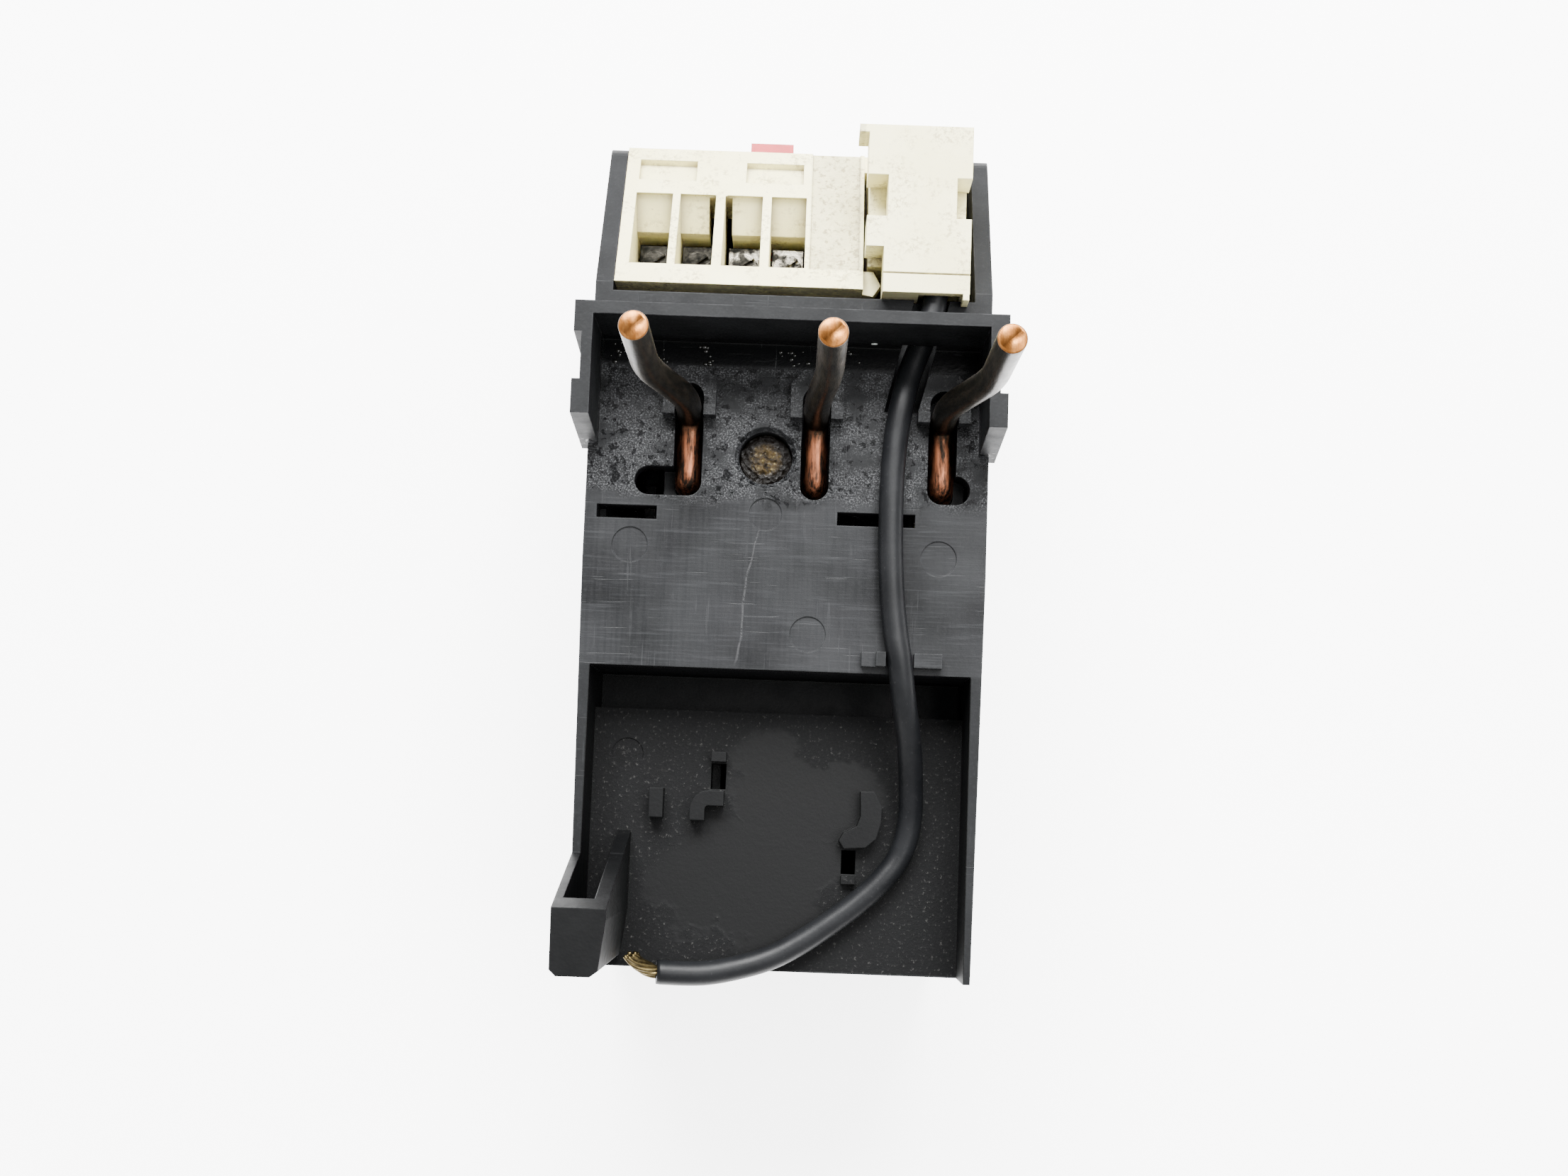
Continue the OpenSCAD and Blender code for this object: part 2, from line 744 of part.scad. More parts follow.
module compensation_lever() {
    color("#9a9182")
        difference() {
            union() {
                block([13, 15], [-22.8, 10], [23, 25.6]);
                block([13, 15], [-22.8, -20.2], [25.5, 26.3]);
                rod_x(comp_y, comp_z, [11.8, 16.2], 2.2);
            }
            rod_x(comp_y, comp_z, [11, 17], 1.06);
        }
}

module compensation_pivot() {
    color("silver")
        rod_x(comp_y, comp_z, [10.2, 17.8], 1);
}

module setting_dial() {
    color("#f4f2e6")
        difference() {
            union() {
                rod_y(dial_x, dial_z, [dial_face_y, -45.8], dial_r);
                rod_y(dial_x, dial_z, [-45.9, -45.1], dial_r + 0.6);
                rod_y(dial_x, dial_z, [-45.2, -17.8], 1.5);
            }
            block(around(dial_x, 0.5), [dial_face_y - 1, dial_face_y + 1], around(dial_z, 3.4));
        }
}

module setting_cam() {
    color("#d9c27a")
        difference() {
            rod_y(dial_x, dial_z + cam_offset, [-23, -20], cam_r - 0.3);
            rod_y(dial_x, dial_z, [-24, -19.5], 1.5);
        }
}

module contact_carrier() {
    color("#efe9d2") {
        block([-6, 19], carrier_y, carrier_z);
        block(tail_x, [carrier_y[1] - 0.1, 7], [31.3, 32.7]);
        block(tail_x, [5.35, 7], [29, 31.4]);
        block([13.3, 15.3], [-13.9, carrier_y[0] + 0.1], [31, 33]);
        block([2.75, 4.75], [carrier_y[1] - 0.1, -10.6], [31, 33]);
    }
}

module contact_bridge(x, y) {
    color("#c08552")
        block([x[0] - 1.4, x[1] + 1.4], around(y, 0.3), [30.8, 33.2]);
}

module nc_bridge() contact_bridge([aux_x[1], aux_x[0]], -14.2);

module no_bridge() contact_bridge([aux_x[3], aux_x[2]], -10.3);

// A strip from the auxiliary screw that ends in an upright contact plate
module fixed_contact(x, plate_y) {
    difference() {
        block(around(x, 1.5), [-34.4, plate_y + 0.3], [contact_z, contact_z + 0.6]);
        rod_z(x, aux_screw_y, [36, 38], 1.15);
    }
    block(around(x, 1.5), around(plate_y, 0.3), [30.5, contact_z + 0.5]);
}

module nc_fixed_contacts() {
    color("#c9a15a")
        for (x = [aux_x[0], aux_x[1]])
            fixed_contact(x, -14.95);
}

module no_fixed_contacts() {
    color("#c9a15a")
        for (x = [aux_x[2], aux_x[3]])
            fixed_contact(x, -7.8);
}

module snap_spring() {
    color("silver")
        coil_spring(-4.4, 30.8, [7.1, 12.7], 1.5, 0.25, 5);
}

// Controls ------------------------------------------------------------------------------

module button_stem(x, flange_r) {
    rod_y(x, button_z, flange_y, flange_r);
    rod_y(x, button_z, [flange_y[1] - 0.1, stem_end_y], stem_r);
}

module test_button() {
    color("#e03a52") {
        block(around(test_x, test_w / 2), [test_tip_y, flange_y[0] + 0.1],
              around(button_z, test_w / 2));
        button_stem(test_x, 3.4);
    }
}

module reset_button() {
    color("#2a63b8") {
        rod_y(reset_x, button_z, [reset_tip_y, flange_y[0] + 0.1], reset_r);
        button_stem(reset_x, 3.4);
    }
}

module button_spring(x) {
    color("silver")
        coil_spring(x, button_z, [flange_y[1] + 0.05, guide_y[0] - 0.05], 2.3, 0.3, 5);
}

module test_button_spring() button_spring(test_x);

module reset_button_spring() button_spring(reset_x);

module trip_indicator() {
    color("#e8c23a")
        block(around(-14, 1.5), [-48, -16], around(26, 1.5));
}

module resin_seal() {
    color("#b98a3a")
        rod_z(seal_x, seal_y, [face_z - 3.3, face_z - 1.5], 2.98);
}

module calibration_screw() {
    color("#c9a15a")
        translate([seal_x, seal_y, face_z - 4.5])
            slotted_screw(2.6, 1.1, 1.6, 9);
}

module lead() {
    color("#151516")
        tube(smooth(LEAD_ROUTE, 3), lead_r, 8);
}

module lead_strands() {
    color("#a89a5c")
        tube(smooth(STRAND_ROUTE, 3), strand_r, 8);
}

main_housing();
bottom_cover();
cover_screws();
front_panel();
main_terminal_block();
main_terminal_clamps();
main_terminal_screws();
aux_terminal_block();
aux_terminal_clamps();
aux_terminal_screws();
coil_adaptor_body();
coil_adaptor_cap();
coil_terminal_clamp();
coil_terminal_screw();
resin_seal();
calibration_screw();
heater_leads();
load_links();
bimetal_holders();
mechanism_frame();
trip_slide();
differential_slide();
differential_lever();
trip_lever();
trip_lever_pivot();
compensation_lever();
compensation_pivot();
setting_dial();
setting_cam();
contact_carrier();
nc_bridge();
no_bridge();
nc_fixed_contacts();
no_fixed_contacts();
snap_spring();
test_button();
test_button_spring();
reset_button();
reset_button_spring();
trip_indicator();
lead();
lead_strands();
for (i = [0:2]) {
    contact_pin(pin_slot_x[i], pin_tip_x[i]);
    bimetal(pole_x[i]);
    insulating_sleeve(pole_x[i]);
    heater_winding(pole_x[i]);
}
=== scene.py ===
import json
import math
import random

import bpy
from mathutils import Matrix, Vector, noise


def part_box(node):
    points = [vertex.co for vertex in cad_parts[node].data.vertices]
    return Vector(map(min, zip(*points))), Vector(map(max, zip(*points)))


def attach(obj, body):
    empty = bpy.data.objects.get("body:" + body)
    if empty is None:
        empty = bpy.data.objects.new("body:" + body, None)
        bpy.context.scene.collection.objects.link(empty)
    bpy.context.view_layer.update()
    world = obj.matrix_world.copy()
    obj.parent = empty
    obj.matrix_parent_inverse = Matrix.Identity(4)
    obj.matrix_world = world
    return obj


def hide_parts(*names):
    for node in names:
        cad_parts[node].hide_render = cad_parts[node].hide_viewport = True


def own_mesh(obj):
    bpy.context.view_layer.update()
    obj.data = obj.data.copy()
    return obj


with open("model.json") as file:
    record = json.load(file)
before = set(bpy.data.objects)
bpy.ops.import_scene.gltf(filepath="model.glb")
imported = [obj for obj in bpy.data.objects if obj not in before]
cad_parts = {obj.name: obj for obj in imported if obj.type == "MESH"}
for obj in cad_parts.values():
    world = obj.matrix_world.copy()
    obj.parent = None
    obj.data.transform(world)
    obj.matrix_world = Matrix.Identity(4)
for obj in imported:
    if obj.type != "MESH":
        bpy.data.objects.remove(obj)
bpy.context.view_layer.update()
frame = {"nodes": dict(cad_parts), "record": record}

MM = 0.001

# Zones of the object that the materials tell apart, in metres. Each of these is a range:
TRAY_WALLS = (-0.0212, 0.0212)
LEDGE_FOOT = (-0.0204, -0.0176)
TRAY_FLOOR_SIDES = (-0.0211, 0.0211)
TRAY_FLOOR_HEIGHT = (0.0426, 0.0447)
LONG_SCRATCH_Y = (0.0012, 0.0155)
DIRTY_STRIP_X = (-0.00745, -0.00155)
DIRTY_STRIP_Y = (-0.0467, -0.0297)
WELLS_X = (-0.0011, 0.0191)
WELLS_Y = (-0.0398, -0.0297)
# and each of these is a fade, from where there is nothing of the zone to where it is full:
OVER_FACE = (0.0512, 0.0516)
UNDER_LEDGE_TOP = (0.0545, 0.0535)
GREASE_EDGE = (-0.0015, -0.0032)
BEHIND_LEDGE = (-0.0179, -0.0172)
FACE_END = (0.0168, 0.0162)
BEHIND_FACE = (0.0164, 0.0167)
OVER_TRENCH = (0.0345, 0.035)
BEFORE_REAR_END = (0.04985, 0.0498)
HOOK_START = (0.0521, 0.0525)
TRAY_FLOOR_START = (0.02, 0.0205)
DIRTY_STRIP_TOP = (0.039, 0.0395)
WELLS_UNDER = (0.0512, 0.0505)
WELLS_OVER = (0.0395, 0.0405)
INNER_WELLS = (0.0092, 0.0088)
PIN_LOOPS_UNDER = (0.0545, 0.0518)
PIN_LOOPS_BEHIND = (-0.0118, -0.0085)
PIN_CUT = (0.0906, 0.09075)

LONG_SCRATCH_X = 0.0034
SEAL_CENTRE = (0.0025, -0.00735)

# The lead's route, as in the CAD model, in metres
LEAD_ROUTE = [
    (-0.0162, -0.0275, 0.0522), (-0.0157, -0.0245, 0.0522), (-0.0146, -0.021, 0.0522),
    (-0.0134, -0.0175, 0.0526), (-0.0126, -0.014, 0.05345), (-0.012, -0.01, 0.05345),
    (-0.0117, -0.005, 0.05345), (-0.0117, 0.001, 0.05345), (-0.012, 0.007, 0.05345),
    (-0.0125, 0.0115, 0.05345), (-0.0131, 0.015, 0.05345), (-0.0138, 0.0195, 0.0523),
    (-0.0146, 0.0235, 0.0498), (-0.0151, 0.0278, 0.0471), (-0.01525, 0.0324, 0.0452),
    (-0.0144, 0.0362, 0.0445), (-0.0125, 0.0391, 0.0445), (-0.0099, 0.0417, 0.0445),
    (-0.007, 0.044, 0.0445), (-0.0039, 0.0462, 0.0445), (-0.0006, 0.0481, 0.0446),
    (0.003, 0.0494, 0.0449), (0.0075, 0.0503, 0.0454), (0.0126, 0.0503, 0.0462)]
STRAND_ROUTE = [(0.0126, 0.0503, 0.0462), (0.0137, 0.0499, 0.0466), (0.0148, 0.0492, 0.0471),
                (0.0156, 0.0482, 0.0476)]
LEAD_R = 1.4 * MM


# Shapes ------------------------------------------------------------------------------

def new_object(name, verts, faces):
    mesh = bpy.data.meshes.new(name)
    mesh.from_pydata([tuple(v) for v in verts], [], faces)
    mesh.validate()
    mesh.shade_smooth()
    obj = bpy.data.objects.new(name, mesh)
    bpy.context.collection.objects.link(obj)
    return obj


def on_curve(p, i, t):
    """A Catmull-Rom point between route points i and i + 1, as in the CAD model."""
    a, b, c, d = (Vector(p[max(i - 1, 0)]), Vector(p[i]), Vector(p[i + 1]),
                  Vector(p[min(i + 2, len(p) - 1)]))
    return 0.5 * (2 * b + (c - a) * t + (2 * a - 5 * b + 4 * c - d) * t * t
                  + (3 * b - a - 3 * c + d) * t ** 3)


def smooth_path(p, steps):
    """A smooth line through the route points p, with steps to each stretch between two."""
    inner = [on_curve(p, i, s / steps) for i in range(len(p) - 1) for s in range(steps)]
    return inner + [Vector(p[-1])]


def rounded_path(points, radii, steps):
    """The same corners, each turned in a curve that starts and ends its radius away from it."""
    points = [Vector(p) for p in points]
    path = [points[0]]
    for before, corner, after, radius in zip(points, points[1:], points[2:], radii):
        reach_in = min(radius, (corner - before).length * 0.49)
        reach_out = min(radius, (after - corner).length * 0.49)
        start = corner + (before - corner).normalized() * reach_in
        end = corner + (after - corner).normalized() * reach_out
        for s in range(steps + 1):
            t = s / steps
            path.append(start * (1 - t) ** 2 + corner * 2 * t * (1 - t) + end * t * t)
    return path + [points[-1]]


def sweep(path, radius, sides):
    """Rings along a path, closed at both ends. radius is a number or a function of index and
    angle."""
    forward = (path[1] - path[0]).normalized()
    side = forward.orthogonal().normalized()
    verts, faces = [], []
    for i, centre in enumerate(path):
        ahead = (path[min(i + 1, len(path) - 1)] - path[max(i - 1, 0)]).normalized()
        side = (forward.rotation_difference(ahead) @ side).normalized()
        forward = ahead
        up = forward.cross(side)
        for k in range(sides):
            a = math.tau * k / sides
            r = radius(i, a) if callable(radius) else radius
            verts.append(centre + (side * math.cos(a) + up * math.sin(a)) * r)
    for i in range(len(path) - 1):
        for k in range(sides):
            j = (k + 1) % sides
            faces.append((i * sides + k, i * sides + j, (i + 1) * sides + j, (i + 1) * sides + k))
    last = (len(path) - 1) * sides
    faces.append(tuple(range(sides - 1, -1, -1)))
    faces.append(tuple(last + k for k in range(sides)))
    return verts, faces


def joined(parts):
    """One list of vertices and faces out of several."""
    verts, faces = [], []
    for v, f in parts:
        start = len(verts)
        verts += v
        faces += [tuple(start + k for k in face) for face in f]
    return verts, faces


# Materials ---------------------------------------------------------------------------

class Shader:
    """A node material in the making. Places are in metres on the object; the sizes of grains,
    widths, reaches and depths are in millimetres."""

    def __init__(self, name, **sockets):
        self.material = bpy.data.materials.new(name)
        self.material.use_nodes = True
        self.tree = self.material.node_tree
        self.tree.nodes.clear()
        self.surface = self.add("ShaderNodeBsdfPrincipled")
        self.add("ShaderNodeOutputMaterial", Surface=self.surface.outputs[0])
        self.where = self.add("ShaderNodeTexCoord").outputs["Object"]
        self.x, self.y, self.z = self.add("ShaderNodeSeparateXYZ", Vector=self.where).outputs
        self.set(**sockets)

    def add(self, kind, props=None, **inputs):
        """A node. An input goes by its name, with _ for a space, or by its index as i0, i1, ..."""
        node = self.tree.nodes.new(kind)
        for key, value in (props or {}).items():
            setattr(node, key, value)
        for key, value in inputs.items():
            name = key.replace("_", " ")
            by_index = name[0] == "i" and name[1:].isdigit()
            self.plug(node.inputs[int(name[1:]) if by_index else name], value)
        return node

    def plug(self, socket, value):
        if isinstance(value, bpy.types.NodeSocket):
            self.tree.links.new(value, socket)
        elif isinstance(value, (tuple, list)) and len(value) == 3 and socket.type == "RGBA":
            socket.default_value = (*value, 1)
        else:
            socket.default_value = value

    def set(self, **sockets):
        for key, value in sockets.items():
            self.plug(self.surface.inputs[key.replace("_", " ")], value)
        return self

    def math(self, operation, a, b=0.0):
        return self.add("ShaderNodeMath", {"operation": operation}, i0=a, i1=b).outputs[0]

    def product(self, *factors):
        result = factors[0]
        for f in factors[1:]:
            result = self.math("MULTIPLY", result, f)
        return result

    def either(self, a, b):
        return self.math("MAXIMUM", a, b)

    def inverse(self, a):
        return self.math("SUBTRACT", 1.0, a)

    def mix(self, factor, a, b):
        return self.add("ShaderNodeMix", {"data_type": "RGBA"}, i0=factor, i6=a, i7=b).outputs[2]

    def mix_number(self, factor, a, b):
        """A number that goes from a to b, where either may be a socket."""
        return self.add("ShaderNodeMix", {"data_type": "FLOAT"}, i0=factor, i2=a, i3=b).outputs[0]

    def blend(self, factor, a, b):
        """A number that goes from a to b, kept between them."""
        return self.add("ShaderNodeMapRange", i0=factor, i1=0.0, i2=1.0, i3=a, i4=b).outputs[0]

    def above(self, value, low, high):
        """0 at low and 1 at high, smooth in between. low may be the larger of the two."""
        return self.add("ShaderNodeMapRange", {"interpolation_type": "SMOOTHSTEP"},
                        i0=value, i1=low, i2=high, i3=0.0, i4=1.0).outputs[0]

    def between(self, value, low, high, soft):
        """1 from low to high, with edges that fade over twice soft."""
        return self.product(self.above(value, low - soft, low + soft),
                            self.above(value, high + soft, high - soft))

    def noise(self, size, detail=4.0, rough=0.55, stretch=(1, 1, 1), shift=(0, 0, 0), warp=0.0):
        """Grains about size across; a stretch below 1 draws them out along that axis."""
        place = self.add("ShaderNodeMapping", Vector=self.where, Scale=stretch,
                         Location=shift).outputs[0]
        return self.add("ShaderNodeTexNoise", Vector=place, Scale=1000.0 / size, Detail=detail,
                        Roughness=rough, Distortion=warp).outputs[0]

    def cells(self, size):
        """Distance to the nearest of scattered points about size apart."""
        return self.add("ShaderNodeTexVoronoi", {"feature": "F1"}, Vector=self.where,
                        Scale=1000.0 / size).outputs[0]

    def round_edges(self, width):
        """The normal with sharp edges rounded off."""
        return self.add("ShaderNodeBevel", {"samples": 4}, Radius=width * MM).outputs[0]

    def edges(self, width):
        """1 on sharp edges, 0 on flat ground."""
        soft = self.round_edges(width)
        hard = self.add("ShaderNodeNewGeometry").outputs["Normal"]
        same = self.add("ShaderNodeVectorMath", {"operation": "DOT_PRODUCT"},
                        i0=soft, i1=hard).outputs["Value"]
        return self.above(same, 0.995, 0.9)

    def crevice(self, reach):
        """1 in deep corners, 0 in the open."""
        open_air = self.add("ShaderNodeAmbientOcclusion", {"samples": 6},
                            Distance=reach * MM).outputs["AO"]
        return self.above(open_air, 0.85, 0.3)

    def bump(self, height, depth, base=None):
        inputs = {"Height": height, "Distance": depth * MM, "Strength": 1.0}
        if base is not None:
            inputs["Normal"] = base
        return self.add("ShaderNodeBump", **inputs).outputs[0]


def moulded_black(s):
    """Charcoal glass-filled plastic: colour, roughness and grain shared by every black part."""
    cloud = s.noise(7, 5)
    grain = s.noise(0.35, 3)
    colour = s.mix(s.above(cloud, 0.3, 0.7), (0.0045, 0.0048, 0.0052), (0.009, 0.0095, 0.0102))
    colour = s.mix(s.product(s.above(grain, 0.5, 0.8), 0.35), colour, (0.017, 0.0175, 0.019))
    rubbed = s.product(s.edges(0.22), s.above(s.noise(1.6, 4), 0.35, 0.7))
    colour = s.mix(s.product(rubbed, 0.75), colour, (0.045, 0.046, 0.048))
    rough = s.blend(s.above(s.noise(2.2, 4, shift=(0.01, 0, 0)), 0.3, 0.75), 0.45, 0.55)
    return colour, rough, grain


def black_plastic():
    """The black parts other than the housing."""
    s = Shader("black_plastic", IOR=1.5, Specular_IOR_Level=0.11)
    colour, rough, grain = moulded_black(s)
    s.set(Base_Color=colour, Roughness=rough, Normal=s.bump(grain, 0.02, s.round_edges(0.15)))
    return s.material


def paint_tray_shade(s, colour):
    """Painted shade: darker plastic in the tray and its trench, and on the hook."""
    in_tray = s.product(s.between(s.x, *TRAY_WALLS, 0.00005), s.above(s.z, *OVER_TRENCH),
                        s.above(s.y, *BEFORE_REAR_END))
    painted_shade = s.product(s.above(s.y, *BEHIND_FACE), s.either(in_tray, s.above(s.z, *HOOK_START)))
    return s.mix(s.product(painted_shade, 0.85), colour, (0.0008, 0.0009, 0.001))


def grease(s, colour, rough, low_face, front):
    """Grease and dust in front, round the pins, and painted shade along the ledge's foot. Gives the
    new colour and roughness.
    """
    # painted shade: a near-black band along the foot of the ledge
    ledge_foot_shade = s.product(low_face, s.between(s.y, *LEDGE_FOOT, 0.0004))
    soiled = s.product(low_face, front, s.above(s.y, *BEHIND_LEDGE))
    specks = s.above(s.noise(0.2, 5, 0.8), 0.5, 0.58)
    patches = s.above(s.noise(3.5, 4, 0.6, shift=(0.02, 0.01, 0)), 0.36, 0.56)
    dust = s.product(soiled, specks, patches)
    colour = s.mix(s.product(dust, 0.9), colour, (0.08, 0.082, 0.085))
    oil_and_shade = s.product(soiled, s.above(s.noise(0.9, 4, 0.6, warp=0.4), 0.55, 0.6))
    # the painted shade at the ledge's foot takes the oil's dark colour and gloss
    oil_and_shade = s.either(oil_and_shade, ledge_foot_shade)
    colour = s.mix(s.product(oil_and_shade, 0.85), colour, (0.0012, 0.0013, 0.0015))
    rough = s.mix_number(oil_and_shade, rough, 0.2)
    return colour, s.mix_number(dust, rough, 0.6)


def hair_scratches(s, size, along, shift=0.0):
    """Thin broken lines; along stretches the pattern."""
    lines = s.noise(size, 2, 0.5, stretch=along, shift=(shift, shift * 0.7, 0))
    broken = s.noise(5, 3, shift=(0, shift, 0.02))
    return s.product(s.above(lines, 0.64, 0.72), s.above(broken, 0.42, 0.6), 0.6)


def brushing(s, colour, rough, low_face, ground):
    """Fine brushing, hair scratches and a painted sheen. Gives colour, roughness, the brushing and
    the scratches.
    """
    brush = s.noise(0.3, 3, 0.6, stretch=(0.05, 1, 1))
    cross = s.noise(0.35, 3, 0.6, stretch=(1, 0.05, 1))
    # painted sheen: lighter patches on the face that stand in for reflected light
    painted_sheen = s.product(ground, s.above(s.noise(14, 2), 0.25, 0.7))
    colour = s.mix(s.product(painted_sheen, 0.6), colour, (0.025, 0.0257, 0.0272))
    colour = s.mix(s.product(ground, s.above(brush, 0.5, 0.75), 0.4), colour,
                   (0.032, 0.033, 0.0352))
    scratches = s.either(hair_scratches(s, 0.5, (0.06, 1.4, 1)),
                         hair_scratches(s, 0.6, (1.5, 0.08, 1), 0.03))
    scratches = s.product(scratches, low_face)
    colour = s.mix(s.product(scratches, 0.28), colour, (0.05, 0.051, 0.053))
    rough = s.mix_number(ground, rough, s.blend(s.above(cross, 0.3, 0.7), 0.32, 0.46))
    return colour, rough, brush, scratches


def long_scratch(s, colour, low_face):
    """One long pale scratch. Gives the new colour and the scratch."""
    drift = s.math("ADD", s.product(s.math("SUBTRACT", s.y, 0.003), 0.14),
                   s.product(s.math("SUBTRACT", s.noise(9, 2), 0.5), 0.003))
    beside = s.math("SUBTRACT", s.math("SUBTRACT", s.x, LONG_SCRATCH_X), drift)
    beside = s.math("ABSOLUTE", beside)
    line = s.product(s.above(beside, 0.00016, 0.00005), s.between(s.y, *LONG_SCRATCH_Y, 0.0012),
                     low_face, s.above(s.noise(0.6, 4, 0.7), 0.34, 0.55))
    return s.mix(s.product(line, 0.55), colour, (0.055, 0.055, 0.057)), line


def tray_floor(s, colour, rough):
    """Debris, and an irregular smooth patch in the middle. Gives colour, roughness, where the
    debris lies and its grain."""
    tray = s.product(s.between(s.z, *TRAY_FLOOR_HEIGHT, 0.0002), s.above(s.y, *TRAY_FLOOR_START),
                     s.between(s.x, *TRAY_FLOOR_SIDES, 0.0001))
    wobble = s.product(s.math("SUBTRACT", s.noise(9, 4, 0.6), 0.5), 0.02)

    def patch(x, y, half_x, half_y):
        """1 inside a wavering oval."""
        dx = s.math("DIVIDE", s.math("SUBTRACT", s.math("ADD", s.x, wobble), x), half_x)
        dy = s.math("DIVIDE", s.math("SUBTRACT", s.math("ADD", s.y, wobble), y), half_y)
        away = s.math("ADD", s.math("MULTIPLY", dx, dx), s.math("MULTIPLY", dy, dy))
        return s.above(away, 1.3, 0.75)

    smooth = s.product(tray, s.either(patch(-0.0025, 0.029, 0.008, 0.008),
                                      patch(0.0025, 0.0405, 0.0105, 0.0075)))
    gritty = s.product(tray, s.inverse(smooth))
    grit = s.noise(0.5, 6, 0.8, shift=(0.03, 0, 0))
    colour = s.mix(s.product(gritty, s.above(grit, 0.57, 0.66), 0.8), colour,
                   (0.045, 0.044, 0.042))
    colour = s.mix(s.product(gritty, s.above(grit, 0.45, 0.3), 0.6), colour,
                   (0.0012, 0.0012, 0.0012))
    colour = s.mix(s.product(smooth, 0.8), colour, (0.0032, 0.0033, 0.0034))
    rough = s.mix_number(smooth, rough, 0.5)
    return colour, s.mix_number(gritty, rough, 0.62), gritty, grit


def housing_plastic():
    """The housing: grease, brushing, scratches and debris on its top faces, with painted shade and
    a painted sheen.
    """
    s = Shader("housing_plastic", IOR=1.5, Specular_IOR_Level=0.11)
    colour, rough, grain = moulded_black(s)
    low_face = s.product(s.above(s.z, *OVER_FACE), s.above(s.z, *UNDER_LEDGE_TOP))
    wavy = s.math("ADD", s.y, s.product(s.math("SUBTRACT", s.noise(4, 3), 0.5), 0.006))
    front = s.above(wavy, *GREASE_EDGE)
    ground = s.product(low_face, s.inverse(front), s.above(s.y, *FACE_END))

    # painted shade in the tray, its trench and on the hook
    colour = paint_tray_shade(s, colour)
    colour, rough = grease(s, colour, rough, low_face, front)
    colour, rough, brush, scratches = brushing(s, colour, rough, low_face, ground)
    colour, line = long_scratch(s, colour, low_face)
    colour, rough, gritty, grit = tray_floor(s, colour, rough)

    height = s.math("ADD", s.product(grain, 0.25), s.product(ground, brush, 0.3))
    height = s.math("ADD", height, s.product(s.inverse(ground), s.noise(0.9, 4, 0.6), 0.3))
    height = s.math("ADD", height, s.product(gritty, grit, 1.3))
    height = s.math("SUBTRACT", height, s.product(s.either(scratches, line), 0.5))
    s.set(Base_Color=colour, Roughness=rough,
          Normal=s.bump(height, 0.05, s.round_edges(0.15)))
    return s.material


def dirty_strip(s, colour):
    """The strip between the wells and the coil adaptor, grimier than the rest."""
    strip = s.product(s.between(s.x, *DIRTY_STRIP_X, 0.0002),
                      s.between(s.y, *DIRTY_STRIP_Y, 0.0003), s.above(s.z, *DIRTY_STRIP_TOP))
    grime = s.math("ADD", 0.3, s.product(s.noise(1.3, 5, 0.7), 0.6))
    colour = s.mix(s.product(strip, grime), colour, (0.4, 0.37, 0.22))
    mottle = s.product(strip, s.above(s.noise(0.7, 5, 0.7, shift=(0.05, 0, 0)), 0.52, 0.62))
    return s.mix(s.product(mottle, 0.75), colour, (0.2, 0.165, 0.08))


def corner_dirt_and_ramp_shade(s, colour):
    """Dirt in the corners, and painted shade on the ramps inside the wells."""
    dirt = s.product(s.crevice(1.6), s.above(s.noise(1.2, 4), 0.2, 0.6))
    colour = s.mix(s.product(dirt, 0.7), colour, (0.25, 0.21, 0.145))
    # painted shade: the ramps inside the wells are darkened where the wells close round them
    ramp_shade = s.product(s.between(s.y, *WELLS_Y, 0.0001), s.above(s.z, *WELLS_UNDER),
                      s.between(s.x, *WELLS_X, 0.0001), s.above(s.z, *WELLS_OVER))
    ramp_shade = s.product(ramp_shade, s.above(s.crevice(3.0), 0.05, 0.5))
    return s.mix(s.product(ramp_shade, 0.6), colour, (0.3, 0.265, 0.19))


def cream_plastic():
    """Yellowed cream plastic with brown stains and flecks."""
    s = Shader("cream_plastic", IOR=1.5, Subsurface_Weight=0.06, Subsurface_Radius=(1, 0.8, 0.5),
               Subsurface_Scale=0.0006)
    cloud = s.above(s.noise(9, 4), 0.3, 0.7)
    colour = s.mix(cloud, (0.80, 0.745, 0.41), (0.88, 0.83, 0.5))
    stain = s.product(s.above(s.noise(4.5, 5, 0.65, shift=(0.01, 0.02, 0)), 0.46, 0.62),
                      s.above(s.noise(0.5, 4, 0.7), 0.46, 0.6))
    colour = s.mix(s.product(stain, 0.6), colour, (0.22, 0.17, 0.075))
    flecks = s.above(s.noise(0.35, 2, 0.5), 0.69, 0.76)
    colour = s.mix(s.product(flecks, 0.45), colour, (0.15, 0.11, 0.06))
    colour = corner_dirt_and_ramp_shade(s, dirty_strip(s, colour))
    s.set(Base_Color=colour, Roughness=s.blend(s.noise(1.8, 4), 0.4, 0.6),
          Normal=s.bump(s.noise(0.5, 3), 0.015, s.round_edges(0.18)))
    return s.material


def dyed_plastic(name, light, dark):
    """A small moulded part in one dye: slight clouding, scuffs and rubbed edges."""
    s = Shader(name, IOR=1.5)
    colour = s.mix(s.above(s.noise(3, 4), 0.3, 0.7), dark, light)
    rubbed = s.product(s.edges(0.15), s.above(s.noise(0.9, 3), 0.4, 0.7))
    pale = tuple(0.7 * c + 0.12 for c in light)
    colour = s.mix(s.product(rubbed, 0.4), colour, pale)
    s.set(Base_Color=colour, Roughness=s.blend(s.noise(1.1, 4), 0.35, 0.53),
          Normal=s.bump(s.noise(0.4, 3), 0.012, s.round_edges(0.15)))
    return s.material


